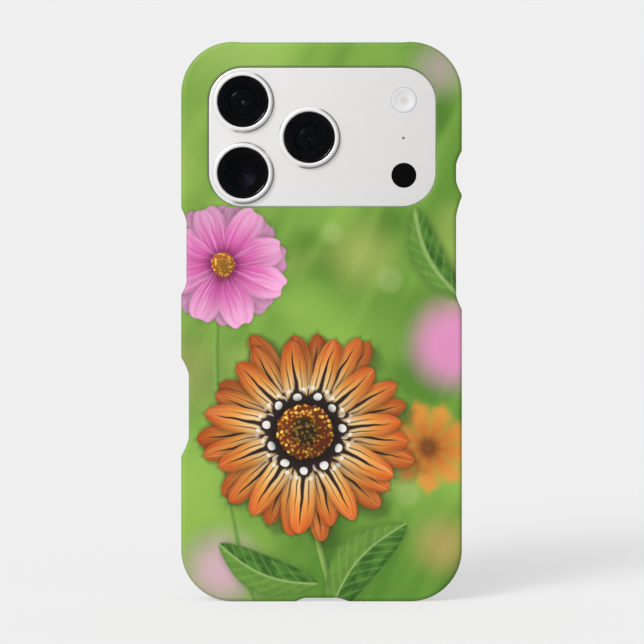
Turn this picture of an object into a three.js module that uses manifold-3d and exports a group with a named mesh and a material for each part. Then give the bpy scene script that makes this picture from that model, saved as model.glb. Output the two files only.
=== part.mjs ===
// A handset in a printed hard case: camera plateau, glass screen, sprung keys, charging port.
// Millimetres. +Z is up, the case's decorated back faces -Y and the screen faces +Y.
// Depths along Y are first counted from the handset's back (0) towards its screen, and the
// whole assembly is then moved so that its box is centred on Y = 0, standing on Z = 0.
import * as THREE from "three";
import { mergeVertices } from "three/addons/utils/BufferGeometryUtils.js";
import Module from "manifold-3d";

const wasm = await Module();
wasm.setup();

// ---- Case ----
const CASE_WIDTH = 78.5;
const CASE_HEIGHT = 156.5;
const CASE_CORNER = 14.5;
const CASE_WALL = 3.15;
const CASE_BACK = 1.9;
const CASE_BACK_EDGE = 1.3;
const CASE_FRONT_EDGE = 0.8;
const CASE_CLEARANCE = 0.15;
const LIP_OVERLAP = 0.7;
const LIP_HEIGHT = 0.85;
const LIP_CHAMFER = 0.3;

// The camera opening in the case's back: size, centre and rounding.
const OPENING = { width: 63.8, height: 39.2, corner: 9.8, x: 0.2, z: 129.85, edge: 0.8 };

// Finger scoops: hollows that run through the depth of the case's edge. `from` and `to` are
// where a scoop leaves the edge, `flat` is its floor and `depth` how far in the floor lies.
const SCOOPS = {
  bottom: [{ from: -7.2, flat: [-4.4, 4.4], to: 7.6, depth: 0.98 }],
  right: [
    { from: 81.7, flat: [86.0, 107.2], to: 113.2, depth: 1.6 },
    { from: 113.8, flat: [117.8, 121.9], to: 126.0, depth: 1.6 },
  ],
  top: [{ from: -24.6, flat: [-22.4, 22.4], to: 24.6, depth: 0.14 }],
  left: [
    { from: 40.6, flat: [46.0, 63.2], to: 68.2, depth: 2.13 },
    { from: 85.8, flat: [89.4, 106.0], to: 110.0, depth: 1.47 },
  ],
};
const SCOOP_EASE = 1.45;
const SCOOP_STEPS = 4;

// ---- Handset ----
const PHONE_DEPTH = 8.75;
const PHONE_RIM = 1.6;
const SCREEN_INSET = 0.9;
const SCREEN_THICKNESS = 0.95;
const SCREEN_RIM = 0.25;
const BACK_PANEL = { width: 66.4, from: 6.2, to: 105.5, corner: 9.5, thickness: 0.8 };
const INLAY_GAP = 0.1;

// ---- Camera plateau ----
const PLATEAU_GAP = 0.3;
const PLATEAU_HEIGHT = 1.75;
const PLATEAU_RIM = 0.7;
const PLATEAU_ROOT = 3;
const LENSES = {
  upper: [-21.9, 139.6],
  lower: [-21.9, 119.7],
  middle: [-3.4, 129.6],
};
const LENS_RADIUS = 7.1;
const LENS_PROUD = 1.35;
const RING_INNER = 7.2;
const RING_STEM = 7.9;
const RING_OUTER = 8.1;
const RING_FLARE = 8.65;
const RING_PROUD = 1.5;
const SEAT_DEPTH = 0.6;
const SEAT_GAP = 0.05;
const FLASH = { x: 23.0, z: 140.1, radius: 3.5 };
const SENSOR = { x: 23.0, z: 119.1, radius: 3.4 };
const INLAY_DEPTH = 0.9;
const REAR_MIC = { x: 22.9, z: 129.5, radius: 0.4, depth: 1.2 };

// ---- Keys: side, middle height, length, and how far each stands proud of the frame ----
const KEYS = {
  side_key: { side: -1, z: 98.0, length: 14.6, proud: 0.35 },
  capture_key: { side: -1, z: 54.6, length: 14.8, proud: 0.15 },
  action_key: { side: 1, z: 119.8, length: 6.6, proud: 0.35 },
  volume_up_key: { side: 1, z: 103.5, length: 9.4, proud: 0.35 },
  volume_down_key: { side: 1, z: 90.9, length: 9.4, proud: 0.35 },
};
const KEY_WIDTH = 3.3;
const KEY_RIM = 0.25;
const KEY_GAP = 0.15;
const KEY_RECESS = 1.6;
const KEY_BACK_GAP = 0.5;

// ---- Windows through the case's edge: along the edge, and their width in depth ----
const WINDOW_WIDTH = 6.2;
const WINDOWS = {
  side: { side: -1, from: 88.9, to: 107.1 },
  capture: { side: -1, from: 45.4, to: 63.8 },
  action: { side: 1, from: 115.2, to: 124.4 },
  volume: { side: 1, from: 84.7, to: 109.7 },
};
const PORT_WINDOW = { halfLength: 6.4, width: 6.4 };
const SPEAKER_WINDOW = { from: 10.2, to: 25.0, width: 4.4 };

// ---- Charging port and speaker holes in the bottom ----
const PORT = { width: 9.0, height: 3.3, depth: 7.0 };
const TONGUE = { width: 6.7, height: 0.75, length: 5.6 };
const SPEAKER = { first: 12.0, pitch: 2.6, holes: 5, radius: 0.75, depth: 2.5 };

// ---- Worked out from the above ----
const CASE_REACH = CASE_WALL + CASE_CLEARANCE;
const PHONE_WIDTH = CASE_WIDTH - 2 * CASE_REACH;
const PHONE_HEIGHT = CASE_HEIGHT - 2 * CASE_REACH;
const PHONE_CORNER = CASE_CORNER - CASE_REACH;
const CASE_INNER_Y = -CASE_CLEARANCE;
const CASE_BACK_Y = CASE_INNER_Y - CASE_BACK;
const LIP_UNDER_Y = PHONE_DEPTH + CASE_CLEARANCE;
const CASE_FRONT_Y = LIP_UNDER_Y + LIP_HEIGHT;
const PLATEAU_Y = -PLATEAU_HEIGHT;
const MIDDLE_Y = PHONE_DEPTH / 2;
const MIDDLE_Z = CASE_HEIGHT / 2;
const BOX_MIDDLE_Y = (PLATEAU_Y - RING_PROUD + CASE_FRONT_Y) / 2;

// Facets of a quarter turn on large corners, and of a full turn on round pieces.
const CORNER_STEPS = 8;
const BAR_STEPS = 4;
const EDGE_STEPS = 3;
const ROUND_STEPS = 28;
const DISC_STEPS = 24;
const DRILL_STEPS = 10;

// ---- Solids: meshes joined and cut ----
function solid(geometry) {
  const bare = geometry.clone();
  bare.deleteAttribute("normal");
  bare.deleteAttribute("uv");
  const merged = mergeVertices(bare, 1e-4);
  return new wasm.Manifold(
    new wasm.Mesh({
      numProp: 3,
      vertProperties: new Float32Array(merged.attributes.position.array),
      triVerts: new Uint32Array(merged.index.array),
    }),
  );
}

function geometryOf(manifold) {
  const mesh = manifold.getMesh();
  const geometry = new THREE.BufferGeometry();
  geometry.setAttribute("position", new THREE.BufferAttribute(mesh.vertProperties, 3));
  geometry.setIndex(new THREE.BufferAttribute(mesh.triVerts, 1));
  geometry.computeVertexNormals();
  return geometry;
}

function cut(body, cutters) {
  return geometryOf(cutters.reduce((left, cutter) => left.subtract(solid(cutter)), solid(body)));
}

// ---- Shapes ----
function roundedRectangle(width, height, corner, x = 0, y = 0) {
  const a = width / 2 - corner;
  const b = height / 2 - corner;
  const shape = new THREE.Shape();
  shape.absarc(x + a, y - b, corner, -Math.PI / 2, 0);
  shape.absarc(x + a, y + b, corner, 0, Math.PI / 2);
  shape.absarc(x - a, y + b, corner, Math.PI / 2, Math.PI);
  shape.absarc(x - a, y - b, corner, Math.PI, 1.5 * Math.PI);
  return shape;
}

// A slab of a shape, its outline at full size and both rims rounded inwards.
function slab(shape, thickness, rim, cornerSteps = CORNER_STEPS) {
  return new THREE.ExtrudeGeometry(shape, {
    depth: thickness - 2 * rim,
    curveSegments: cornerSteps / 2,
    bevelEnabled: rim > 0,
    bevelSize: rim,
    bevelOffset: -rim,
    bevelThickness: rim,
    bevelSegments: EDGE_STEPS - 1,
  }).translate(0, 0, rim);
}

// The slab stood up in the X-Z plane, reaching from the depth `back` to `front`.
function uprightSlab(shape, back, front, rim = 0) {
  return slab(shape, front - back, rim).rotateX(Math.PI / 2).translate(0, front, 0);
}

// A round-ended bar, long in Z and wide in Y, its thickness reaching along +X from 0.
function sideBar(length, width, thickness, rim = 0) {
  return slab(roundedRectangle(width, length, width / 2), thickness, rim, BAR_STEPS)
    .rotateX(Math.PI / 2)
    .rotateZ(Math.PI / 2);
}

// A round-ended bar, long in X and wide in Y, its thickness reaching up from 0.
function floorBar(length, width, thickness) {
  return slab(roundedRectangle(length, width, width / 2), thickness, 0, BAR_STEPS);
}

// A round post along Y, from the depth `back` to `front`.
function post(radius, back, front, steps = ROUND_STEPS) {
  const middle = (back + front) / 2;
  return new THREE.CylinderGeometry(radius, radius, front - back, steps).translate(0, middle, 0);
}

// A turned piece whose profile gives a radius and a height towards the viewer of the back.
function turned(profile) {
  const points = profile.map(([radius, height]) => new THREE.Vector2(radius, height));
  return new THREE.LatheGeometry(points, ROUND_STEPS).rotateX(Math.PI);
}

// ---- Case shell: one section swept round the edge, with the camera opening in its back ----
function scoopDepth(scoops, place) {
  for (const { from, flat, to, depth } of scoops) {
    if (place <= from || place >= to) continue;
    if (place >= flat[0] && place <= flat[1]) return depth;
    const t = place < flat[0] ? (place - from) / (flat[0] - from) : (to - place) / (to - flat[1]);
    return depth * (1 - Math.pow(1 - t, SCOOP_EASE));
  }
  return 0;
}

// The places along one side where the outline bends.
function scoopPlaces(scoops) {
  return scoops.flatMap(({ from, flat, to }) => {
    const places = [];
    const ramp = (start, end) => {
      for (let i = 0; i <= SCOOP_STEPS; i++) places.push(start + ((end - start) * i) / SCOOP_STEPS);
    };
    ramp(from, flat[0]);
    ramp(flat[1], to);
    return places;
  });
}

// Stations round the case, anticlockwise as seen with X right and Z up.
function caseStations() {
  const a = CASE_WIDTH / 2 - CASE_CORNER;
  const low = CASE_CORNER;
  const high = CASE_HEIGHT - CASE_CORNER;
  const stations = [];
  const corner = (x, z, start) => {
    for (let i = 0; i <= CORNER_STEPS; i++) {
      const angle = start + ((Math.PI / 2) * i) / CORNER_STEPS;
      const out = [Math.cos(angle), Math.sin(angle)];
      stations.push({ x: x + CASE_CORNER * out[0], z: z + CASE_CORNER * out[1], out, scoop: 0 });
    }
  };
  const side = (name, forward, at) => {
    const places = scoopPlaces(SCOOPS[name]);
    if (!forward) places.reverse();
    for (const place of places) {
      stations.push({ ...at(place), scoop: scoopDepth(SCOOPS[name], place) });
    }
  };
  side("bottom", true, (x) => ({ x, z: 0, out: [0, -1] }));
  corner(a, low, -Math.PI / 2);
  side("right", true, (z) => ({ x: CASE_WIDTH / 2, z, out: [1, 0] }));
  corner(a, high, 0);
  side("top", false, (x) => ({ x, z: CASE_HEIGHT, out: [0, 1] }));
  corner(-a, high, Math.PI / 2);
  side("left", false, (z) => ({ x: -CASE_WIDTH / 2, z, out: [-1, 0] }));
  corner(-a, low, Math.PI);
  return stations;
}

// The edge's section from the back's flat round to the inside: how far in, and how deep.
function caseSection(scoop) {
  const section = [];
  for (let i = 0; i <= EDGE_STEPS; i++) {
    const angle = ((Math.PI / 2) * i) / EDGE_STEPS;
    section.push([
      scoop + CASE_BACK_EDGE * (1 - Math.sin(angle)),
      CASE_BACK_Y + CASE_BACK_EDGE * (1 - Math.cos(angle)),
    ]);
  }
  for (let i = 0; i <= EDGE_STEPS; i++) {
    const angle = ((Math.PI / 2) * i) / EDGE_STEPS;
    section.push([
      scoop + CASE_FRONT_EDGE * (1 - Math.cos(angle)),
      CASE_FRONT_Y - CASE_FRONT_EDGE * (1 - Math.sin(angle)),
    ]);
  }
  const lip = CASE_REACH + LIP_OVERLAP;
  section.push([lip - LIP_CHAMFER, CASE_FRONT_Y]);
  section.push([lip, CASE_FRONT_Y - LIP_CHAMFER]);
  section.push([lip, LIP_UNDER_Y]);
  section.push([CASE_WALL, LIP_UNDER_Y]);
  section.push([CASE_WALL, CASE_INNER_Y]);
  return section;
}

// The camera opening's rings, from the back's flat over its rounded edge to the inside.
function openingRings() {
  const { width, height, corner, x, z, edge } = OPENING;
  const ring = (grow, y) =>
    roundedRectangle(width + 2 * grow, height + 2 * grow, corner + grow, x, z)
      .getPoints(CORNER_STEPS / 2)
      .map((p) => [p.x, y, p.y]);
  const rings = [];
  for (let i = 0; i <= EDGE_STEPS; i++) {
    const angle = ((Math.PI / 2) * i) / EDGE_STEPS;
    rings.push(ring(edge * (1 - Math.sin(angle)), CASE_BACK_Y + edge * (1 - Math.cos(angle))));
  }
  rings.push(ring(0, CASE_INNER_Y));
  return rings;
}

function caseShellGeometry() {
  const stations = caseStations();
  const sections = stations.map(({ scoop }) => caseSection(scoop));
  const edgeRings = sections[0].map((_, k) =>
    stations.map(({ x, z, out }, i) => {
      const [inwards, y] = sections[i][k];
      return [x - out[0] * inwards, y, z - out[1] * inwards];
    }),
  );
  const holeRings = openingRings();
  const points = [];
  const triangles = [];
  const addRing = (ring) => {
    const first = points.length / 3;
    for (const p of ring) points.push(...p);
    return ring.map((_, i) => first + i);
  };
  const band = (near, far) => {
    near.forEach((a, i) => {
      const next = (i + 1) % near.length;
      triangles.push(a, near[next], far[next], a, far[next], far[i]);
    });
  };
  const flat = (outer, hole, facesBack) => {
    const at = (i) => new THREE.Vector2(points[3 * i], points[3 * i + 2]);
    const indices = [...outer, ...hole];
    for (const [a, b, c] of THREE.ShapeUtils.triangulateShape(outer.map(at), [hole.map(at)])) {
      const face = facesBack ? [a, b, c] : [a, c, b];
      triangles.push(...face.map((i) => indices[i]));
    }
  };
  const edge = edgeRings.map(addRing);
  const hole = holeRings.map(addRing);
  for (let k = 1; k < edge.length; k++) band(edge[k], edge[k - 1]);
  for (let k = 1; k < hole.length; k++) band(hole[k - 1], hole[k]);
  flat(edge[0], hole[0], true);
  flat(edge.at(-1), hole.at(-1), false);
  const geometry = new THREE.BufferGeometry();
  geometry.setAttribute("position", new THREE.Float32BufferAttribute(points, 3));
  geometry.setIndex(triangles);

  const through = CASE_WALL + 2;
  const windows = Object.values(WINDOWS).map(({ side, from, to }) =>
    sideBar(to - from, WINDOW_WIDTH, through)
      .rotateZ(side < 0 ? Math.PI : 0)
      .translate(side * (CASE_WIDTH / 2 - CASE_WALL - 1), MIDDLE_Y, (from + to) / 2),
  );
  const portWindow = floorBar(2 * PORT_WINDOW.halfLength, PORT_WINDOW.width, through);
  windows.push(portWindow.translate(0, MIDDLE_Y, -1));
  for (const side of [-1, 1]) {
    const { from, to, width } = SPEAKER_WINDOW;
    const middle = (side * (from + to)) / 2;
    windows.push(floorBar(to - from, width, through).translate(middle, MIDDLE_Y, -1));
  }
  return cut(geometry, windows);
}

// ---- Handset ----
function phoneOutline(inset) {
  const width = PHONE_WIDTH - 2 * inset;
  const height = PHONE_HEIGHT - 2 * inset;
  return roundedRectangle(width, height, PHONE_CORNER - inset, 0, MIDDLE_Z);
}

function backPanelOutline(grow) {
  const { width, from, to, corner } = BACK_PANEL;
  const height = to - from + 2 * grow;
  return roundedRectangle(width + 2 * grow, height, corner + grow, 0, (from + to) / 2);
}

// One metal body with its camera plateau.
function phoneFrameGeometry() {
  const body = solid(uprightSlab(phoneOutline(0), 0, PHONE_DEPTH, PHONE_RIM));
  const plateauOutline = roundedRectangle(
    OPENING.width - 2 * PLATEAU_GAP,
    OPENING.height - 2 * PLATEAU_GAP,
    OPENING.corner - PLATEAU_GAP,
    OPENING.x,
    OPENING.z,
  );
  const plateau = solid(uprightSlab(plateauOutline, PLATEAU_Y, PLATEAU_ROOT, PLATEAU_RIM));

  const screenSeat = PHONE_DEPTH - SCREEN_THICKNESS - INLAY_GAP;
  const screenPocket = uprightSlab(phoneOutline(SCREEN_INSET - INLAY_GAP), screenSeat, PHONE_DEPTH + 1);
  const panelPocket = uprightSlab(backPanelOutline(INLAY_GAP), -1, BACK_PANEL.thickness + INLAY_GAP);
  const cutters = [screenPocket, panelPocket];
  for (const { side, z, length } of Object.values(KEYS)) {
    cutters.push(
      sideBar(length + 2 * KEY_GAP, KEY_WIDTH + 2 * KEY_GAP, KEY_RECESS + 1)
        .rotateZ(side < 0 ? Math.PI : 0)
        .translate(side * (PHONE_WIDTH / 2 - KEY_RECESS), MIDDLE_Y, z),
    );
  }
  for (const [x, z] of Object.values(LENSES)) {
    const seat = PLATEAU_Y + SEAT_DEPTH;
    cutters.push(post(RING_STEM + INLAY_GAP, PLATEAU_Y - 1, seat).translate(x, 0, z));
  }
  for (const { x, z, radius } of [FLASH, SENSOR]) {
    const seat = PLATEAU_Y + INLAY_DEPTH;
    cutters.push(post(radius + INLAY_GAP, PLATEAU_Y - 1, seat, DISC_STEPS).translate(x, 0, z));
  }
  const micHole = post(REAR_MIC.radius, PLATEAU_Y - 1, PLATEAU_Y + REAR_MIC.depth, DRILL_STEPS);
  cutters.push(micHole.translate(REAR_MIC.x, 0, REAR_MIC.z));
  const socket = floorBar(PORT.width, PORT.height, PORT.depth + 1);
  cutters.push(socket.translate(0, MIDDLE_Y, CASE_REACH - 1));
  for (const side of [-1, 1]) {
    for (let i = 0; i < SPEAKER.holes; i++) {
      const x = side * (SPEAKER.first + SPEAKER.pitch * i);
      const drill = post(SPEAKER.radius, -1, SPEAKER.depth, DRILL_STEPS).rotateX(Math.PI / 2);
      cutters.push(drill.translate(x, MIDDLE_Y, CASE_REACH));
    }
  }
  return cut(geometryOf(body.add(plateau)), cutters);
}

function backPanelGeometry() {
  return uprightSlab(backPanelOutline(0), 0, BACK_PANEL.thickness);
}

function screenGlassGeometry() {
  const outline = phoneOutline(SCREEN_INSET);
  return uprightSlab(outline, PHONE_DEPTH - SCREEN_THICKNESS, PHONE_DEPTH, SCREEN_RIM);
}

// ---- Camera pieces ----
function lensRingGeometry() {
  const foot = SEAT_GAP - SEAT_DEPTH;
  return turned([
    [RING_INNER, foot],
    [RING_STEM, foot],
    [RING_STEM, SEAT_GAP],
    [RING_FLARE, SEAT_GAP],
    [RING_FLARE - 0.35, 0.22],
    [RING_OUTER, 0.55],
    [RING_OUTER, RING_PROUD - 0.35],
    [RING_OUTER - 0.15, RING_PROUD - 0.1],
    [RING_OUTER - 0.45, RING_PROUD],
    [RING_INNER, RING_PROUD],
    [RING_INNER, foot],
  ]);
}

function lensGlassGeometry() {
  const foot = SEAT_GAP - SEAT_DEPTH;
  return turned([
    [0, foot],
    [LENS_RADIUS, foot],
    [LENS_RADIUS, LENS_PROUD - 0.15],
    [LENS_RADIUS - 0.15, LENS_PROUD],
    [0, LENS_PROUD],
  ]);
}

// A small round window let into the plateau, its face flush with the metal.
function inlayGeometry(radius) {
  return post(radius, SEAT_GAP, INLAY_DEPTH - SEAT_GAP, DISC_STEPS);
}

// ---- Keys and port ----
function keyGeometry({ side, length, proud }) {
  const thickness = KEY_RECESS - KEY_BACK_GAP + proud;
  return sideBar(length, KEY_WIDTH, thickness, KEY_RIM).rotateZ(side < 0 ? Math.PI : 0);
}

function portTongueGeometry() {
  const { width, height, length } = TONGUE;
  return new THREE.BoxGeometry(width, height, length).translate(0, 0, -length / 2);
}

// ---- Assembly ----
const PRINT = { color: 0x8fb25c, roughness: 0.45, metalness: 0 };
const SATIN_METAL = { color: 0xe3e2e0, roughness: 0.42, metalness: 0.6 };
const POLISHED_METAL = { color: 0xf0efee, roughness: 0.25, metalness: 0.7 };
const BACK_GLASS = { color: 0xdedddb, roughness: 0.5, metalness: 0 };
const BLACK_GLASS = { color: 0x08080a, roughness: 0.06, metalness: 0 };
const FLASH_LENS = { color: 0xdcdcd8, roughness: 0.3, metalness: 0 };
const PORT_PLASTIC = { color: 0x1a1a1c, roughness: 0.5, metalness: 0 };

const assembly = new THREE.Group();
assembly.position.y = -BOX_MIDDLE_Y;

function place(name, geometry, finish, position = [0, 0, 0], parent = assembly) {
  const mesh = new THREE.Mesh(geometry, new THREE.MeshStandardMaterial(finish));
  mesh.name = name;
  mesh.position.set(...position);
  parent.add(mesh);
  return mesh;
}

place("case_shell", caseShellGeometry(), PRINT);
place("phone_frame", phoneFrameGeometry(), SATIN_METAL);
place("back_panel", backPanelGeometry(), BACK_GLASS);
place("screen_glass", screenGlassGeometry(), BLACK_GLASS);

const camera = new THREE.Group();
camera.position.y = PLATEAU_Y;
assembly.add(camera);
for (const [name, [x, z]] of Object.entries(LENSES)) {
  place(`lens_ring_${name}`, lensRingGeometry(), POLISHED_METAL, [x, 0, z], camera);
  place(`lens_glass_${name}`, lensGlassGeometry(), BLACK_GLASS, [x, 0, z], camera);
}
place("flash_lens", inlayGeometry(FLASH.radius), FLASH_LENS, [FLASH.x, 0, FLASH.z], camera);
place("depth_sensor", inlayGeometry(SENSOR.radius), BLACK_GLASS, [SENSOR.x, 0, SENSOR.z], camera);

for (const [name, key] of Object.entries(KEYS)) {
  const inner = PHONE_WIDTH / 2 - KEY_RECESS + KEY_BACK_GAP;
  place(name, keyGeometry(key), SATIN_METAL, [key.side * inner, MIDDLE_Y, key.z]);
}
place("port_tongue", portTongueGeometry(), PORT_PLASTIC, [0, MIDDLE_Y, CASE_REACH + PORT.depth]);

const part = new THREE.Group();
part.add(assembly);

export default part;
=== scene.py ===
import math

import bmesh
import bpy
import numpy as np
from mathutils import Matrix, Vector
from mathutils.geometry import delaunay_2d_cdt


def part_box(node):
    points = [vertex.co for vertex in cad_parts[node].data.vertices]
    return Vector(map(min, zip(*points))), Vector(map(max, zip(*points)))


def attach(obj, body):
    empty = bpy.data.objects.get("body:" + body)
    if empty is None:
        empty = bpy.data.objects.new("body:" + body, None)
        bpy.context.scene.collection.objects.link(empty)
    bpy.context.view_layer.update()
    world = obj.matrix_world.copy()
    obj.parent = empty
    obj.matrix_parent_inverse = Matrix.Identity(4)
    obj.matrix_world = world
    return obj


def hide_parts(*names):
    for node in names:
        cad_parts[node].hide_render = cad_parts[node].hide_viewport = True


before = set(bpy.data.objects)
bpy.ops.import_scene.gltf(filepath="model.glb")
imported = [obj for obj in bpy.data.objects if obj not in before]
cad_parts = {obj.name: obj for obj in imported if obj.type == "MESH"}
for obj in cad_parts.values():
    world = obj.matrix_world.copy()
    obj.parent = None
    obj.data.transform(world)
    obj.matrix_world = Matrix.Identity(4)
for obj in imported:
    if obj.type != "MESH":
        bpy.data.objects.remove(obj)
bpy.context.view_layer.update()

# A smartphone in a printed hard case. Lengths are in millimetres until a mesh is made from them.
# X is to the right as seen from the back, Z is up, the printed back faces -Y and the screen +Y.
MM = 0.001
HANDSET = "handset"


def node_box(name):
    """A CAD node's lowest and highest corners, in millimetres."""
    low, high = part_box(name)
    return np.array(low) / MM, np.array(high) / MM


def middle_of(name):
    low, high = node_box(name)
    return (low + high) / 2


# ---- Sizes: outer ones come from the frame's boxes, the rest are named here ----
CASE_LOW, CASE_HIGH = node_box("case_shell")
FRAME_LOW, FRAME_HIGH = node_box("phone_frame")
SCREEN_LOW, SCREEN_HIGH = node_box("screen_glass")
PANEL_LOW, PANEL_HIGH = node_box("back_panel")

CASE_WIDTH = CASE_HIGH[0] - CASE_LOW[0]
CASE_HEIGHT = CASE_HIGH[2] - CASE_LOW[2]
CASE_BACK_Y = CASE_LOW[1]
CASE_FRONT_Y = CASE_HIGH[1]
PHONE_WIDTH = FRAME_HIGH[0] - FRAME_LOW[0]
PHONE_HEIGHT = FRAME_HIGH[2] - FRAME_LOW[2]
PHONE_BACK_Y = PANEL_LOW[1]
PHONE_FRONT_Y = SCREEN_HIGH[1]
PLATEAU_Y = FRAME_LOW[1]
MIDDLE_Y = (PHONE_BACK_Y + PHONE_FRONT_Y) / 2
MIDDLE_Z = CASE_HEIGHT / 2

CASE_CORNER = 14.5
CASE_WALL = 3.15
CASE_CLEARANCE = 0.15
CASE_REACH = CASE_WALL + CASE_CLEARANCE
CASE_BACK_EDGE = 1.3
CASE_FRONT_EDGE = 0.8
CASE_INNER_Y = PHONE_BACK_Y - CASE_CLEARANCE
LIP_UNDER_Y = PHONE_FRONT_Y + CASE_CLEARANCE
LIP_INSET = CASE_REACH + 0.7
LIP_EDGE = 0.3
OPENING = dict(width=63.8, height=39.2, corner=9.8, x=0.2, z=129.85, edge=0.5)

# Finger scoops: where each leaves the edge, the two ends of its floor, where it ends, its depth.
SCOOPS = dict(
    bottom=[(-7.2, -4.4, 4.4, 7.6, 0.98)],
    right=[(81.7, 86.0, 107.2, 113.2, 1.6), (113.8, 117.8, 121.9, 126.0, 1.6)],
    top=[(-24.45, -22.3, 22.3, 24.45, 0.14)],
    left=[(40.6, 46.0, 63.2, 68.2, 2.13), (85.8, 89.4, 106.0, 110.0, 1.47)],
)
SCOOP_EASE = 1.45  # the power that bends a ramp where it meets the floor
SCOOP_SPACING = 0.4
SCOOP_SOFTNESS = 0.25

# Windows through the case's edge: side, and their two ends along the edge.
WINDOW_WIDTH = 6.2
WINDOWS = dict(
    side=(-1, 88.9, 107.1),
    capture=(-1, 45.4, 63.8),
    action=(1, 115.2, 124.4),
    volume=(1, 84.7, 109.7),
)
PORT_WINDOW = dict(length=12.8, width=6.4)
SPEAKER_WINDOW = dict(start=10.2, end=25.0, width=4.4)
WINDOW_CLEAR = 0.8  # how far inside the wall a window's cutter starts
CUTTER_SPARE = 1  # how far a cutter reaches past the face that it cuts

PHONE_CORNER = CASE_CORNER - CASE_REACH
PHONE_RIM = 1.6
SCREEN_INSET = 0.9
PANEL_CORNER = 9.5
INLAY_GAP = 0.1
PLATEAU_GAP = 0.14
PLATEAU_RIM = 0.35
PLATEAU_SHIFT = 0.09

# Camera pieces, with heights from the plateau and `curve` a radius, below 0 for a dish.
LENSES = ("upper", "lower", "middle")
LENS_GLASS = 7.1
RING_INNER, RING_STEM, RING_OUTER, RING_FLARE = 7.2, 7.9, 8.3, 8.7
RING_PROUD = 1.5
RING_RIM = 0.45
RING_MOUTH = 0.15
SKIRT_RISE = 0.3
LENS_PROUD = 1.35
COVER_THICKNESS = 0.4
COVER_EDGE = 0.15
SEAT_DEPTH = 0.6
SEAT_GAP = 0.05
BARREL_BORE = 6.3
BARREL_DEPTH = 4.2
BARREL_TOP = LENS_PROUD - 0.45
BAFFLE_DROP = 0.55
STOP = dict(radius=6.5, width=0.2, slope=22)
ELEMENT = dict(edge=-0.9, thickness=1.6, dimple=1.5, dimple_curve=-2.5, bead=0.45, bead_curve=1.0)
FLASH_RADIUS = 3.5
SENSOR_RADIUS = 3.4
INLAY_DEPTH = 0.9
FLASH_DISH = 0.42
FLASH_RIPPLE = 0.07
REAR_MIC = dict(x=22.9, z=129.5, radius=0.4, depth=1.2)
MIC_MESH = dict(sunk=0.3, thickness=0.3)

KEYS = ("side_key", "capture_key", "action_key", "volume_up_key", "volume_down_key")
KEY_RECESS = 1.6
KEY_GAP = 0.15
KEY_RIM = 0.25
PORT = dict(width=9.0, height=3.3, depth=7.0)
SPEAKER = dict(first=12.0, pitch=2.6, holes=5, radius=0.75, depth=2.5)
CONTACT = dict(pitch=0.5, count=12, width=0.26, length=3.9, thickness=0.05, from_foot=2.4)
EARPIECE = dict(length=11.0, width=0.5, depth=0.25, from_top=2.0)
FRONT_CAMERA = dict(x=-6.4, from_top=8.2, radius=1.6, pupil=1.05)
ISLAND = dict(width=18.6, height=5.6)
SCREEN_BORDER = 2.6
SCREEN_RIM = 0.25


# ---- Patterns worked out by shader nodes ----
class Field:
    """A number at each point of a surface, so that a pattern can be written as a sum."""

    def __init__(self, socket):
        self.socket = socket

    def __add__(self, other):
        return reckon("ADD", self, other)

    def __sub__(self, other):
        return reckon("SUBTRACT", self, other)

    def __rsub__(self, other):
        return reckon("SUBTRACT", other, self)

    def __mul__(self, other):
        return reckon("MULTIPLY", self, other)

    def __truediv__(self, other):
        return reckon("DIVIDE", self, other)

    def __pow__(self, other):
        return reckon("POWER", self, other)

    __radd__ = __add__
    __rmul__ = __mul__


def feed(slot, value):
    if isinstance(value, Field):
        slot.id_data.links.new(value.socket, slot)
    else:
        slot.default_value = value


def tree_of(*values):
    return next(v.socket.id_data for v in values if isinstance(v, Field))


def reckon(operation, *values):
    node = tree_of(*values).nodes.new("ShaderNodeMath")
    node.operation = operation
    for slot, value in zip(node.inputs, values):
        feed(slot, value)
    return Field(node.outputs[0])


def sine(a):
    return reckon("SINE", a)


def cosine(a):
    return reckon("COSINE", a)


def size_of(a):
    return reckon("ABSOLUTE", a)


def whole(a):
    return reckon("FLOOR", a)


def least(a, b):
    return reckon("MINIMUM", a, b)


def most(a, b):
    return reckon("MAXIMUM", a, b)


def distance(a, b):
    return reckon("SQRT", a * a + b * b)


def rise(value, low, high):
    """0 below low and 1 above high with a smooth step between; low may be the greater."""
    node = tree_of(value).nodes.new("ShaderNodeMapRange")
    node.interpolation_type = "SMOOTHSTEP"
    feed(node.inputs["Value"], value)
    feed(node.inputs["From Min"], low)
    feed(node.inputs["From Max"], high)
    return Field(node.outputs["Result"])


def place_at(*axes):
    node = tree_of(*axes).nodes.new("ShaderNodeCombineXYZ")
    for slot, value in zip(node.inputs, axes):
        feed(slot, value)
    return Field(node.outputs[0])


def axes_of(place):
    node = tree_of(place).nodes.new("ShaderNodeSeparateXYZ")
    feed(node.inputs[0], place)
    return [Field(output) for output in node.outputs]


def cloud(place, size, detail=2.0):
    """Noise from 0 to 1 whose lumps are about `size` across."""
    node = tree_of(place).nodes.new("ShaderNodeTexNoise")
    feed(node.inputs["Vector"], place)
    node.inputs["Scale"].default_value = 1 / size
    node.inputs["Detail"].default_value = detail
    return Field(node.outputs["Fac"])


def cells(place, size):
    """How far the nearest of scattered points is, in cells of about `size`."""
    node = tree_of(place).nodes.new("ShaderNodeTexVoronoi")
    feed(node.inputs["Vector"], place)
    node.inputs["Scale"].default_value = 1 / size
    return Field(node.outputs["Distance"])


def chance(number):
    node = tree_of(number).nodes.new("ShaderNodeTexWhiteNoise")
    node.noise_dimensions = "1D"
    feed(node.inputs["W"], number)
    return Field(node.outputs["Value"])


# The Mix node's sockets when it mixes colours.
MIX_SHARE, MIX_BELOW, MIX_ABOVE, MIX_RESULT = 0, 6, 7, 2


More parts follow.
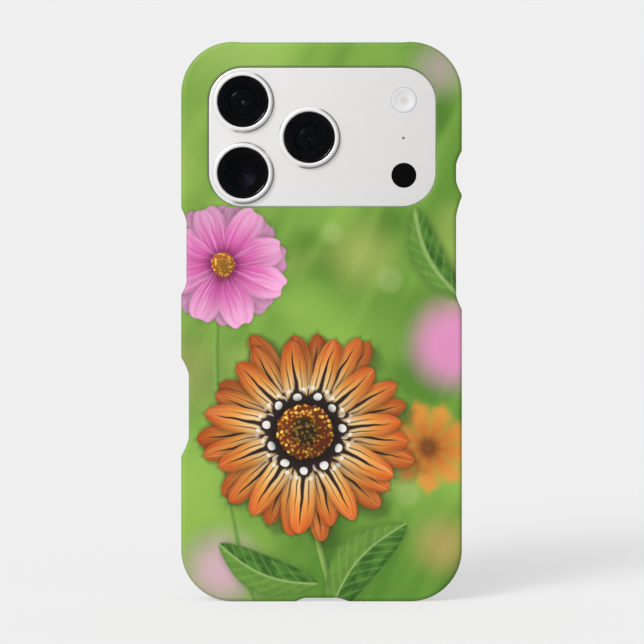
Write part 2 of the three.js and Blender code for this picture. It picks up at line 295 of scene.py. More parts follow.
def mixed(share, below, above):
    """The colour `above` laid over `below` by a share from 0 to 1."""
    node = tree_of(share, below, above).nodes.new("ShaderNodeMix")
    node.data_type = "RGBA"
    feed(node.inputs[MIX_SHARE], share)
    feed(node.inputs[MIX_BELOW], below)
    feed(node.inputs[MIX_ABOVE], above)
    return Field(node.outputs[MIX_RESULT])


def dimmed(colour, level):
    """A colour made darker or lighter by a field."""
    node = tree_of(colour, level).nodes.new("ShaderNodeVectorMath")
    node.operation = "SCALE"
    feed(node.inputs[0], colour)
    feed(node.inputs["Scale"], level)
    return Field(node.outputs[0])


def linear(red, green, blue, level=1.0):
    """A shader colour from screen values of 0 to 255."""

    def channel(value):
        value /= 255
        return level * (value / 12.92 if value <= 0.04045 else ((value + 0.055) / 1.055) ** 2.4)

    return (channel(red), channel(green), channel(blue), 1.0)


def grey(level):
    return (level, level, level, 1.0)


def darker(tint, share):
    return tuple(share * channel for channel in tint[:3]) + (1.0,)


def new_material(name, **settings):
    """A node material with its constant settings on the shader, and that shader."""
    material = bpy.data.materials.new(name)
    material.use_nodes = True
    shader = material.node_tree.nodes["Principled BSDF"]
    for label, value in settings.items():
        shader.inputs[label.replace("_", " ")].default_value = value
    return material, shader


def object_place(shader):
    """Object coordinates in millimetres."""
    tree = shader.id_data
    node = tree.nodes.new("ShaderNodeTexCoord")
    scale = tree.nodes.new("ShaderNodeVectorMath")
    scale.operation = "SCALE"
    tree.links.new(node.outputs["Object"], scale.inputs[0])
    scale.inputs["Scale"].default_value = 1 / MM
    return Field(scale.outputs[0])


def raise_surface(shader, height, depth_mm, strength=1.0):
    """Relief from a field of 0 to 1, `depth_mm` deep."""
    tree = shader.id_data
    node = tree.nodes.new("ShaderNodeBump")
    node.inputs["Strength"].default_value = strength
    node.inputs["Distance"].default_value = depth_mm * MM
    feed(node.inputs["Height"], height)
    tree.links.new(node.outputs["Normal"], shader.inputs["Normal"])


# ---- The print: an open orange bloom and a pink one before blurred foliage ----
INK_LEVEL = 0.755
PRINT_LIGHT = math.radians(127)  # where the light drawn on the petals comes from


def ink(red, green, blue):
    return linear(red, green, blue, INK_LEVEL)


def swayed(x, z, amount, size, seed):
    """A place moved a little by noise, so that nothing drawn there is quite regular."""
    side = cloud(place_at(x, z, seed), size, 2.0) - 0.5
    lift = cloud(place_at(x, z, seed + 9.3), size, 2.0) - 0.5
    return x + side * amount, z + lift * amount


def blot(x, z, centre, radius, blur):
    """A round patch, out of focus by `blur`."""
    away = distance(x - centre[0], z - centre[1])
    return rise(away, radius + blur, radius - blur)


class Petals:
    """A ring of petals: how far inside one a point lies, and where along and across it."""

    def __init__(self, x, z, centre, count, reach, width, turn, seed, uneven=0.14, notch=0.0, blunt=3.6):
        dx, dz = x - centre[0], z - centre[1]
        self.radius = distance(dx, dz)
        self.angle = reckon("ARCTAN2", dz, dx)
        share = self.angle * (count / (2 * math.pi)) + (turn + count / 2)
        number = whole(share)
        self.number = reckon("FLOORED_MODULO", number, float(count)) + seed
        self.luck = chance(self.number)
        along = self.radius / ((self.luck * uneven + (1 - uneven / 2)) * reach)
        lean = (chance(self.number + 31.7) - 0.5) * (along * along * 0.24 + 0.1)
        self.across = (share - number - 0.5 + lean) * self.radius * (2 * math.pi / count)
        if notch:
            along = along * (cosine(self.across * (7.5 / width)) * notch + 1.0)
        self.along = along
        tip = most(1 - along**blunt, 0.0)
        self.half = (along**0.62) * (tip**0.5) * ((chance(self.number + 57.1) * 0.16 + 0.92) * width)
        past_tip = most(along - 1, 0.0) * reach
        self.inside = self.half - size_of(self.across) - past_tip
        self.offset = self.across / most(self.half, 0.05)

    def modelling(self, crown, cup):
        """Light from the upper left on a petal that is crowned across and cupped along."""
        turn = self.angle - PRINT_LIGHT
        sideways = sine(turn) * self.offset * crown
        lengthways = cosine(turn) * (self.along - 0.6) * cup
        return 1.0 - sideways - lengthways


def foliage(x, z):
    """Blurred green ground with soft patches of light and of far blossoms."""
    place = place_at(x, z, 3.1)
    slope = math.radians(64)
    up_blade = x * math.cos(slope) + z * math.sin(slope)
    over_blade = z * math.cos(slope) - x * math.sin(slope)
    blades = cloud(place_at(up_blade * 0.16, over_blade, 7.7), 7.0, 1.0)
    colour = mixed(rise(cloud(place, 44, 1.0), 0.34, 0.66), ink(90, 138, 46), ink(148, 190, 80))
    colour = mixed(rise(cloud(place_at(x, z, 11.0), 20, 1.0), 0.45, 0.74) * 0.7, colour, ink(72, 120, 34))
    colour = mixed(rise(blades, 0.44, 0.74) * 0.35, colour, ink(150, 192, 80))
    colour = mixed(rise(cloud(place_at(x, z, 23.0), 26, 1.0), 0.55, 0.74) * 0.55, colour, ink(170, 184, 98))
    colour = mixed(rise(z, 40.0, -6.0) * 0.5, colour, ink(80, 132, 42))
    colour = mixed(rise(x, 10.0, -44.0) * 0.35, colour, ink(154, 192, 88))
    for centre, radius, blur, tint, share in (
        ((-28.0, 9.0), 8.0, 7.0, ink(226, 176, 202), 0.8),
        ((34.0, 16.0), 6.0, 6.0, ink(214, 166, 110), 0.55),
        ((37.0, 72.0), 10.5, 6.0, ink(234, 146, 200), 0.9),
        ((11.0, 97.0), 7.0, 7.5, ink(190, 196, 106), 0.6),
        ((-38.0, 64.0), 8.0, 8.0, ink(158, 146, 92), 0.55),
        ((33.0, 149.0), 5.5, 6.0, ink(196, 162, 176), 0.65),
        ((-22.0, 154.0), 12.0, 8.0, ink(162, 196, 100), 0.6),
        ((16.0, 78.0), 7.0, 8.0, ink(120, 164, 62), 0.5),
    ):
        colour = mixed(blot(x, z, centre, radius, blur) * share, colour, tint)
    glints = (((8.0, 12.0), 4.0), ((24.0, 30.0), 3.2), ((3.0, 103.0), 2.8), ((19.0, 90.0), 3.6))
    for centre, radius in glints:
        colour = mixed(blot(x, z, centre, radius, 1.3) * 0.16, colour, ink(214, 226, 160))
    return colour


def leaf(x, z, colour, root, angle, length, width, blur):
    """A pointed leaf, softly out of focus, with its midrib and side veins."""
    turn = math.radians(angle)
    dx, dz = x - root[0], z - root[1]
    along = dx * math.cos(turn) + dz * math.sin(turn)
    bend = sine(along * (math.pi / length)) * (0.11 * length)
    across = dz * math.cos(turn) - dx * math.sin(turn) - bend
    share = least(most(along / length, 0.0), 1.0)
    half = ((share * (1 - share) * 4) ** 0.8) * width
    past_ends = most(size_of(along - length / 2) - length / 2, 0.0)
    inside = half - size_of(across) - past_ends
    veins = sine((along - size_of(across) * 1.3) * (2 * math.pi / 3.7))
    mottle = cloud(place_at(along * 0.5, across, angle), 2.2, 3.0)
    skin = mixed(rise(mottle, 0.35, 0.65), ink(52, 98, 32), ink(80, 130, 46))
    skin = mixed(rise(across, -0.4, 0.4) * 0.5, skin, ink(124, 168, 70))
    skin = mixed(rise(veins, 0.3, 0.95) * 0.2, skin, ink(146, 184, 96))
    skin = dimmed(skin, rise(inside, 0.0, 1.6) * 0.2 + 0.8)
    rib = rise(size_of(across), 0.3 + blur * 0.4, 0.1)
    skin = mixed(rib * 0.6, skin, ink(168, 198, 118))
    colour = mixed(rise(inside, -2.6, 0.4) * rise(half, 0.0, 2.0) * 0.3, colour, ink(58, 92, 34))
    return mixed(rise(inside, -blur, blur) * rise(half, 0.0, blur), colour, skin)


def stem(x, z, colour, top, lean, curl, width, blur, tint, shade):
    """A stalk that runs down from `top`, leaning and curling a little."""
    down = top[1] - z
    away = x - top[0] - down * lean - down * down * curl
    line = rise(size_of(away), width + blur, width - blur) * rise(down, -1.0, 1.0)
    return mixed(line, colour, mixed(rise(away, -width, width), tint, shade))


def pink_skin(petals, lit):
    along, offset = petals.along, petals.offset
    streaks = cloud(place_at(offset * 7.0, along * 1.2, petals.number), 1.0, 3.0)
    skin = mixed(rise(along, 0.16, 0.5), ink(156, 40, 112), ink(222, 104, 178))
    skin = mixed(rise(along + streaks * 0.4, 0.6, 1.15), skin, ink(240, 170, 212))
    skin = mixed(rise(streaks, 0.5, 0.72) * 0.5, skin, ink(246, 196, 226))
    skin = mixed(rise(streaks, 0.46, 0.28) * 0.4, skin, ink(188, 66, 142))
    fold = rise(size_of(size_of(offset) - 0.42), 0.2, 0.0)
    skin = mixed(fold * 0.22, skin, ink(176, 60, 130))
    edge = rise(petals.inside, 0.0, 1.5) * 0.16 + 0.84
    return dimmed(skin, edge * (petals.luck * 0.14 + 0.9) * petals.modelling(0.12, 0.3) * lit)


def pink_bloom(x, z, colour):
    """An open bloom of broad notched pink petals with a small golden eye, a little out of focus."""
    centre = (-27.5, 94.0)
    x, z = swayed(x, z, 1.7, 7.0, 2.2)
    for turn, seed, lit in ((0.5, 50.0, 0.72), (0.08, 40.0, 1.0)):
        petals = Petals(x, z, centre, 8, 17.6, 6.3, turn, seed, 0.12, 0.028, 5.5)
        colour = mixed(rise(petals.inside, -2.8, 0.8) * 0.4, colour, ink(72, 66, 46))
        colour = mixed(rise(petals.inside, -0.45, 0.45), colour, pink_skin(petals, lit))
    away = petals.radius
    lean = cosine(petals.angle - PRINT_LIGHT) * away * 0.09
    grains = cells(place_at(x, z, 5.0), 0.8)
    eye = mixed(rise(grains, 0.12, 0.6), ink(250, 206, 84), ink(168, 92, 26))
    eye = dimmed(mixed(rise(away, 0.8, 2.6), ink(150, 104, 34), eye), lean + 0.95)
    colour = mixed(rise(away, 5.6, 3.2) * 0.55, colour, ink(96, 24, 70))
    return mixed(rise(away, 3.7, 3.2), colour, eye)


def far_bloom(x, z, colour):
    """A small orange bloom, far out of focus."""
    x, z = swayed(x, z, 2.0, 6.0, 6.1)
    petals = Petals(x, z, (30.0, 43.0), 9, 11.5, 3.9, 0.3, 70.0)
    skin = mixed(rise(petals.along, 0.2, 0.9), ink(200, 84, 30), ink(234, 148, 60))
    colour = mixed(rise(petals.inside, -3.0, 2.0) * 0.85, colour, skin)
    return mixed(rise(petals.radius, 4.6, 1.4) * 0.85, colour, ink(112, 58, 26))


ORANGE_CENTRE = (-4.5, 47.5)
ORANGE_REACH = 29.5
SPOT_SHARE = 0.385


def orange_skin(petals, lit):
    """Orange petals with cream middles, dark veins, and a near-black foot with white spots."""
    along, offset, across = petals.along, petals.offset, petals.across
    streaks = cloud(place_at(offset * 5.0, along * 1.3, petals.number), 0.9, 4.0)
    fibres = cloud(place_at(offset * 15.0, along * 1.6, petals.number + 4.0), 0.8, 2.0)
    skin = mixed(rise(along + size_of(offset) * 0.12, 0.5, 0.8), ink(244, 212, 152), ink(240, 158, 62))
    skin = mixed(rise(along + streaks * 0.35 + size_of(offset) * 0.12, 0.84, 1.2), skin, ink(216, 92, 24))
    skin = mixed(rise(streaks, 0.5, 0.72) * 0.5, skin, ink(248, 188, 104))
    skin = mixed(rise(streaks, 0.48, 0.27) * 0.5, skin, ink(190, 70, 18))
    skin = mixed(rise(fibres, 0.48, 0.7) * 0.25, skin, ink(252, 206, 140))
    dark = ink(44, 33, 30)
    waver = (fibres - 0.5) * 0.5
    taper = rise(along, 0.96, 0.42)
    middle_vein = rise(size_of(across + waver), taper * 0.7 + 0.16, taper * 0.4) * rise(along, 0.95, 0.84)
    side = size_of(size_of(offset) - 0.52) * petals.half + waver
    side_veins = rise(side, taper * 0.25 + 0.14, 0.04) * rise(along, 0.92, 0.6) * 0.85
    skin = mixed(most(middle_vein, side_veins), skin, dark)
    edge = rise(petals.inside, 0.0, 1.7) * 0.2 + 0.8
    skin = dimmed(skin, edge * (petals.luck * 0.18 + 0.88) * petals.modelling(0.15, 0.34) * lit)
    foot = along + size_of(offset) * 0.08 + (streaks - 0.5) * 0.05
    skin = mixed(rise(foot, 0.5, 0.455), skin, dark)
    spot = distance((along - SPOT_SHARE) * ORANGE_REACH, across) + (fibres - 0.5) * 0.3
    skin = mixed(rise(spot, 1.3, 1.05), skin, ink(240, 237, 230))
    pair = distance((along - SPOT_SHARE - 0.078) * ORANGE_REACH, size_of(across) - 2.0)
    return mixed(rise(pair, 0.72, 0.5), skin, ink(234, 228, 216))


def orange_bloom(x, z, colour):
    """The large bloom: three rings of petals round a stippled golden disc."""
    x, z = swayed(x, z, 1.5, 8.0, 4.4)
    cast = Petals(x - 1.8, z + 2.2, ORANGE_CENTRE, 11, ORANGE_REACH, 5.6, 0.5, 10.0)
    colour = mixed(rise(cast.inside, -3.5, 1.5) * 0.5, colour, ink(34, 54, 22))
    for turn, reach, seed, lit in ((0.5, 1.0, 10.0, 0.7), (0.14, 0.97, 30.0, 0.88), (0.82, 0.93, 90.0, 1.0)):
        ring = Petals(x, z, ORANGE_CENTRE, 11, ORANGE_REACH * reach, 4.9, turn, seed)
        colour = mixed(rise(ring.inside, -2.0, 0.2) * 0.5, colour, ink(74, 28, 12))
        colour = mixed(rise(ring.inside, -0.16, 0.16), colour, orange_skin(ring, lit))
    away = ring.radius
    rim = 8.0
    colour = mixed(rise(away, rim + 3.0, rim), colour, ink(28, 21, 18))
    lean = cosine(ring.angle - PRINT_LIGHT) * away * (1 / rim)
    grains = cells(place_at(x, z, 1.0), 1.0)
    anthers = cells(place_at(x, z, 14.0), 1.7)
    florets = mixed(rise(grains, 0.1, 0.55), ink(236, 156, 46), ink(112, 50, 16))
    florets = mixed(rise(anthers, 0.34, 0.2) * rise(away, rim * 0.5, rim * 0.8), florets, ink(252, 214, 96))
    heart = mixed(rise(grains, 0.15, 0.6), ink(146, 116, 44), ink(52, 36, 16))
    disc = mixed(rise(away, rim * 0.36, rim * 0.62), heart, florets)
    disc = dimmed(disc, lean * 0.3 + 0.86)
    return mixed(rise(away + (grains - 0.4) * 0.8, rim, rim - 0.4), colour, disc)


def garden_print(x, z):
    colour = foliage(x, z)
    colour = far_bloom(x, z, colour)
    colour = stem(x, z, colour, (-29.0, 82.0), -0.06, 0.0022, 0.7, 0.7, ink(140, 176, 84), ink(88, 132, 48))
    colour = stem(x, z, colour, (-3.0, 32.0), 0.1, 0.004, 1.1, 0.3, ink(148, 182, 92), ink(72, 112, 40))
    colour = leaf(x, z, colour, (40.0, 84.0), 118, 30, 4.6, 1.5)
    colour = leaf(x, z, colour, (2.0, -4.0), 50, 34, 6.4, 0.35)
    colour = leaf(x, z, colour, (-1.0, 5.0), 158, 30, 5.4, 0.55)
    colour = pink_bloom(x, z, colour)
    return orange_bloom(x, z, colour)


# ---- Finishes ----
PRINT_UNIT = 100.0


def printed_finish():
    """Ink under a satin coat, carried on round the edges, with painted shade that darkens the print over the
    rounded edge.
    """
    material, shader = new_material("printed_coat", Specular_IOR_Level=0.18)
    maps = []
    for name in ("PrintMap", "RimMap"):
        node = shader.id_data.nodes.new("ShaderNodeUVMap")
        node.uv_map = name
        maps.append(axes_of(Field(node.outputs[0])))
    x, z = maps[0][0] * PRINT_UNIT, maps[0][1] * PRINT_UNIT
    round_rim = maps[1][0] * PRINT_UNIT
    # Painted shade: the print is darkened over the rounded edge and lightened a little again on the sides
    # beyond it.
    rim_shade = 1.0 - rise(round_rim, 0.2, 1.5) * 0.15 + rise(round_rim, 2.2, 4.5) * 0.05
    feed(shader.inputs["Base Color"], dimmed(garden_print(x, z), rim_shade))
    place = object_place(shader)
    feed(shader.inputs["Roughness"], cloud(place, 9.0, 3.0) * 0.08 + 0.4)
    raise_surface(shader, cloud(place, 0.35, 2.0), 0.004, 0.5)
    return material


def case_plastic_finish():
    material, shader = new_material("case_plastic", Specular_IOR_Level=0.4)
    place = object_place(shader)
    tint = mixed(cloud(place, 6.0), linear(222, 224, 221), linear(230, 231, 228))
    feed(shader.inputs["Base Color"], tint)
    feed(shader.inputs["Roughness"], cloud(place, 1.4, 3.0) * 0.12 + 0.4)
    raise_surface(shader, cloud(place, 0.3), 0.006, 0.6)
    return material


def metal_finish(name, tint, metallic, roughness, grain):
    """Anodised metal with a fine even grain."""
    material, shader = new_material(name, Metallic=metallic)
    place = object_place(shader)
    feed(shader.inputs["Base Color"], mixed(cloud(place, 5.0), darker(tint, 0.985), tint))
    feed(shader.inputs["Roughness"], cloud(place, 2.5, 3.0) * 0.06 + (roughness - 0.03))
    if grain:
        raise_surface(shader, cloud(place, 0.16, 1.0), grain, 0.5)
    return material


def gloss_finish(name, tint, roughness, specular, **settings):
    """Polished glass or lacquer with the faintest unevenness in its gloss."""
    material, shader = new_material(name, Specular_IOR_Level=specular, **settings)
    place = object_place(shader)
    feed(shader.inputs["Base Color"], mixed(cloud(place, 3.0), darker(tint, 0.92), tint))
    feed(shader.inputs["Roughness"], cloud(place, 4.0, 3.0) * 0.03 + roughness)
    return material


def coated_finish(lens, inner, outer, bead, roughness, metallic=0.0):
    """The coated front of a lens: one colour round its bead, another towards its edge, and a paler colour on
    the bead that is a painted highlight.
    """
    material, shader = new_material(
        "front_coat_" + lens, Specular_IOR_Level=0.02, Roughness=roughness, Metallic=metallic
    )
    centre = middle_of("lens_glass_" + lens)
    x, _, z = axes_of(object_place(shader))
    away = distance(x - centre[0], z - centre[2])
    colour = mixed(rise(away, 0.8, 3.2), inner, outer)
    # Painted highlight: the bead's paler colour stands for the specks of reflected light at the lens's
    # centre.
    feed(shader.inputs["Base Color"], mixed(rise(away, 0.5, 0.25), colour, bead))
    return material


def rounded_box_inside(x, z, width, height, corner):
    """How far inside a rounded rectangle a point lies."""
    dx = size_of(x) - (width / 2 - corner)
    dz = size_of(z) - (height / 2 - corner)
    outer = distance(most(dx, 0.0), most(dz, 0.0)) + least(most(dx, dz), 0.0)
    return corner - outer


def screen_finish():
    """Black glass: a slightly bluer display inside its border, and the front camera's island."""
    material, shader = new_material("screen_glass_black", Specular_IOR_Level=0.5)
    x, _, z = axes_of(object_place(shader))
    width, height = PHONE_WIDTH - 2 * SCREEN_BORDER, PHONE_HEIGHT - 2 * SCREEN_BORDER
    display = rounded_box_inside(x, z - MIDDLE_Z, width, height, PHONE_CORNER - SCREEN_BORDER)
    colour = mixed(rise(display, -0.06, 0.06), linear(6, 6, 7), linear(15, 16, 20))
    island_z = MIDDLE_Z + PHONE_HEIGHT / 2 - FRONT_CAMERA["from_top"]
    island = rounded_box_inside(x, z - island_z, ISLAND["width"], ISLAND["height"], ISLAND["height"] / 2)
    colour = mixed(rise(island, -0.05, 0.05), colour, linear(3, 3, 4))
    lens = distance(x - FRONT_CAMERA["x"], z - island_z)
    radius, pupil = FRONT_CAMERA["radius"], FRONT_CAMERA["pupil"]
    colour = mixed(rise(lens, radius, radius - 0.1), colour, linear(14, 16, 34))
    colour = mixed(rise(lens, pupil, pupil - 0.1), colour, linear(4, 4, 10))
    feed(shader.inputs["Base Color"], colour)
    feed(shader.inputs["Roughness"], cloud(object_place(shader), 14.0, 4.0) * 0.05 + 0.03)
    return material


def flash_finish():
    """A frosted bluish rim, a clear white dish and a pale beige emitter."""
    material, shader = new_material("flash_dish", Specular_IOR_Level=0.1)
    centre = middle_of("flash_lens")
    place = object_place(shader)
    x, _, z = axes_of(place)
    away = distance(x - centre[0], z - centre[2])
    colour = mixed(rise(away, 3.35, 2.7), linear(190, 193, 197), linear(199, 200, 200))
    colour = mixed(rise(away + cloud(place, 0.9) * 0.6, 1.9, 0.9), colour, linear(191, 185, 181))
    feed(shader.inputs["Base Color"], colour)
    feed(shader.inputs["Roughness"], rise(away, 2.2, 3.4) * 0.15 + 0.38)
    ring_pitch = 0.34
    raise_surface(shader, sine(away * (2 * math.pi / ring_pitch)) * 0.5 + 0.5, 0.012, 0.4)
    return material


# ---- Mesh building ----
def finish_mesh(name, bm, *materials):
    """A piece at the origin from a bmesh in millimetres."""
    bmesh.ops.remove_doubles(bm, verts=bm.verts, dist=1e-5)
    bmesh.ops.recalc_face_normals(bm, faces=bm.faces)
    for vert in bm.verts:
        vert.co *= MM
    mesh = bpy.data.meshes.new(name)
    bm.to_mesh(mesh)
    bm.free()
    for material in materials:
        mesh.materials.append(material)
    piece = bpy.data.objects.new(name, mesh)
    bpy.context.scene.collection.objects.link(piece)
    return piece


def bake_modifiers(piece):
    bpy.context.view_layer.update()
    view = bpy.context.evaluated_depsgraph_get()
    mesh = bpy.data.meshes.new_from_object(piece.evaluated_get(view))
    piece.modifiers.clear()
    piece.data = mesh


def weld(piece):
    """Merge the slivers that a cut leaves along its edges."""
    bm = bmesh.new()
    bm.from_mesh(piece.data)
    bmesh.ops.remove_doubles(bm, verts=bm.verts, dist=2e-4 * MM)
    bmesh.ops.dissolve_degenerate(bm, edges=bm.edges, dist=1e-4 * MM)
    bm.to_mesh(piece.data)
    bm.free()


def cut_with(piece, tools, operation="DIFFERENCE"):
    """Cut a piece with its tools, or join them to it, and take the tools away."""
    for tool in tools:
        modifier = piece.modifiers.new("cut", "BOOLEAN")
        modifier.object = tool
        modifier.operation = operation
        modifier.solver = "EXACT"
        modifier.material_mode = "INDEX"
    bake_modifiers(piece)
    weld(piece)
    for tool in tools:
        bpy.data.objects.remove(tool)


def soften(piece, sharp_angle=35):
    """Curves look smooth, creases stay sharp, and flats stay flat beside small rounded edges."""
    piece.data.shade_smooth()
    piece.data.set_sharp_from_angle(angle=math.radians(sharp_angle))
    modifier = piece.modifiers.new("flats", "WEIGHTED_NORMAL")
    modifier.keep_sharp = True
    bake_modifiers(piece)
    return piece


def quarter_turn(steps):
    """Angles from nothing to a right angle."""
    return [0.5 * math.pi * i / steps for i in range(steps + 1)]


def rounded_outline(width, height, corner, x=0.0, z=0.0, steps=24):
    """Points round a rounded rectangle, anticlockwise with X right and Z up."""
    a, b = width / 2 - corner, height / 2 - corner
    points = []
    for cx, cz, start in ((a, -b, -0.5), (a, b, 0.0), (-a, b, 0.5), (-a, -b, 1.0)):
        for i in range(steps + 1):
            angle = math.pi * (start + 0.5 * i / steps)
            points.append((x + cx + corner * math.cos(angle), z + cz + corner * math.sin(angle)))
    return np.array(points)


def join_rings(bm, near, far, kind=0):
    count = len(near)
    for i in range(count):
        j = (i + 1) % count
        face = bm.faces.new((near[i], far[i], far[j], near[j]))
        face.material_index = kind


def slab(outline_at, back, front, back_rim=0.0, front_rim=0.0, steps=6):
    """A slab in the X-Z plane whose outline is outline_at(inset), its rims rounded."""
    profile = [(0.0, back), (0.0, front)]
    if back_rim or front_rim:
        turn = quarter_turn(steps)
        profile = [(back_rim * (1 - math.sin(a)), back + back_rim * (1 - math.cos(a))) for a in turn]
        profile += [(front_rim * (1 - math.cos(a)), front - front_rim * (1 - math.sin(a))) for a in turn]
    bm = bmesh.new()
    rings = []
    for inset, y in dict.fromkeys(profile):
        rings.append([bm.verts.new((x, y, z)) for x, z in outline_at(inset)])
    for near, far in zip(rings, rings[1:]):
        join_rings(bm, near, far)
    bm.faces.new(rings[0])
    bm.faces.new(list(reversed(rings[-1])))
    return bm


def bar(length, width, thickness, back_rim=0.0, front_rim=0.0, steps=5):
    """A round-ended bar, long in Z and wide in Y, its thickness reaching along +X from 0."""

    def outline_at(inset):
        return rounded_outline(width - 2 * inset, length - 2 * inset, width / 2 - inset, steps=20)

    bm = slab(outline_at, 0, thickness, back_rim, front_rim, steps)
    return turned(bm, -90, "Z")


def turned(bm, degrees, axis):
    bmesh.ops.rotate(bm, verts=bm.verts, matrix=Matrix.Rotation(math.radians(degrees), 3, axis))
    return bm


def moved(bm, offset):
    bmesh.ops.translate(bm, verts=bm.verts, vec=Vector(offset))
    return bm


def outward(bm, side):
    """A bar along +X turned to point out of the part on its side, 1 for right or -1 for left."""
    return turned(bm, 0 if side > 0 else 180, "Z")


def lathe(profile, steps=96):
    """A body turned round the Y axis from closed pairs of radius and height towards the viewer."""
    bm = bmesh.new()
    angles = [2 * math.pi * i / steps for i in range(steps)]
    rings = []
    for radius, height in profile:
        if radius < 1e-6:
            rings.append([bm.verts.new((0, -height, 0))] * steps)
        else:
            places = [(radius * math.cos(a), -height, radius * math.sin(a)) for a in angles]
            rings.append([bm.verts.new(place) for place in places])
    for near, far in zip(rings, rings[1:] + rings[:1]):
        for i in range(steps):
            j = (i + 1) % steps
            corners = list(dict.fromkeys((near[i], far[i], far[j], near[j])))
            if len(corners) > 2:
                bm.faces.new(corners)
    return bm


def curve_points(centre, radius, start, end, steps):
    """Points of an arc in a profile, its angles in degrees from the outward radius."""
    angles = [math.radians(start + (end - start) * i / steps) for i in range(steps + 1)]
    return [(centre[0] + radius * math.cos(a), centre[1] + radius * math.sin(a)) for a in angles]


# ---- Case ----
PRINTED, PLAIN = 0, 1


def raw_scoop(scoops, place):
    """The scoop's depth at a place along the edge, with sharp corners."""
    for start, floor_start, floor_end, end, depth in scoops:
        if start < place < end:
            ramp = min((place - start) / (floor_start - start), (end - place) / (end - floor_end), 1.0)
            return depth * (1 - (1 - ramp) ** SCOOP_EASE)
    return 0.0


def scoop_depth(scoops, place):
    """The scoop's depth, its outer corners eased over a short stretch."""
    spread = np.linspace(-SCOOP_SOFTNESS, SCOOP_SOFTNESS, 7)
    return float(np.mean([raw_scoop(scoops, place + step) for step in spread]))


def scoop_places(scoops):
    """Places along the edge, close together only where it is scooped."""
    places = []
    for start, _, _, end, _ in scoops:
        low, high = start - SCOOP_SOFTNESS, end + SCOOP_SOFTNESS
        places.extend(np.linspace(low, high, math.ceil((high - low) / SCOOP_SPACING)))
    return sorted(set(np.round(places, 4)))


def case_stations(corner_steps=28):
    """Places round the case: where, which way is out, and how deep the finger scoop is there."""
    a = CASE_WIDTH / 2 - CASE_CORNER
    low, high = CASE_CORNER, CASE_HEIGHT - CASE_CORNER
    stations = []

    def corner(x, z, start):
        for i in range(corner_steps + 1):
            angle = math.pi * (start + 0.5 * i / corner_steps)
            out = np.array((math.cos(angle), math.sin(angle)))
            stations.append((np.array((x, z)) + CASE_CORNER * out, out, 0.0))

    def side(name, direction, out, edge_at):
        scoops = SCOOPS[name]
        for place in scoop_places(scoops)[::direction]:
            stations.append((np.array(edge_at(place)), np.array(out, float), scoop_depth(scoops, place)))

    side("bottom", 1, (0, -1), lambda x: (x, 0.0))
    corner(a, low, -0.5)
    side("right", 1, (1, 0), lambda z: (CASE_WIDTH / 2, z))
    corner(a, high, 0.0)
    side("top", -1, (0, 1), lambda x: (x, CASE_HEIGHT))
    corner(-a, high, 0.5)
    side("left", -1, (-1, 0), lambda z: (-CASE_WIDTH / 2, z))
    corner(-a, low, 1.0)
    return stations


def case_section(scoop):
    """Inset, depth, and whether the print reaches it, from the back's flat round to the inside."""
    turn = quarter_turn(8)
    back, front, lip = CASE_BACK_EDGE, CASE_FRONT_EDGE, LIP_EDGE
    points = []
    for a in turn:
        points.append((scoop + back * (1 - math.sin(a)), CASE_BACK_Y + back * (1 - math.cos(a)), True))
    for a in turn:
        inset = scoop + front * (1 - math.cos(a))
        points.append((inset, CASE_FRONT_Y - front * (1 - math.sin(a)), a < turn[-1]))
    for a in quarter_turn(2):
        inset = LIP_INSET - lip * (1 - math.sin(a))
        points.append((inset, CASE_FRONT_Y - lip * (1 - math.cos(a)), False))
    inside = ((LIP_INSET, LIP_UNDER_Y), (CASE_WALL, LIP_UNDER_Y), (CASE_WALL, CASE_INNER_Y))
    return points + [(inset, y, False) for inset, y in inside]


def flat_face(bm, outer, inner, kind):
    """Triangles between an outer ring and a hole, both in one plane, that use each vertex of both."""
    verts = outer + inner
    places = [Vector((v.co.x, v.co.z)) for v in verts]
    hole_start = len(outer)
    edges = [(i, (i + 1) % hole_start) for i in range(hole_start)]
    edges += [(hole_start + i, hole_start + (i + 1) % len(inner)) for i in range(len(inner))]
    within_edges, tolerance = 1, 1e-6
    _, _, triangles, sources, _, _ = delaunay_2d_cdt(places, edges, [], within_edges, tolerance)
    for triangle in triangles:
        corners = [sources[i][0] for i in triangle]
        fills_hole = min(corners) >= hole_start
        if not fills_hole:
            bm.faces.new([verts[i] for i in corners]).material_index = kind


def opening_sections():
    """How much wider than the opening each of its rings is, and the ring's depth."""
    edge = OPENING["edge"]
    rounded = [(edge * (1 - math.sin(a)), CASE_BACK_Y + edge * (1 - math.cos(a))) for a in quarter_turn(6)]
    return rounded + [(0.0, CASE_INNER_Y)]


def window_cutters():
    """Bars that cut the key windows through the sides, and the port's and speakers' through the foot."""
    through = CASE_WALL + 2 * CUTTER_SPARE
    cutters = []
    for side, start, end in WINDOWS.values():
        bm = outward(bar(end - start, WINDOW_WIDTH, through), side)
        x = side * (CASE_WIDTH / 2 - CASE_WALL - WINDOW_CLEAR)
        cutters.append(moved(bm, (x, MIDDLE_Y, (start + end) / 2)))
    start, end = SPEAKER_WINDOW["start"], SPEAKER_WINDOW["end"]
    bars = [(0.0, PORT_WINDOW["length"], PORT_WINDOW["width"])]
    bars += [(side * (start + end) / 2, end - start, SPEAKER_WINDOW["width"]) for side in (-1, 1)]
    for x, length, width in bars:
        bm = turned(bar(length, width, through), 90, "Y")
        cutters.append(moved(bm, (x, MIDDLE_Y, CASE_WALL + WINDOW_CLEAR)))
    return cutters


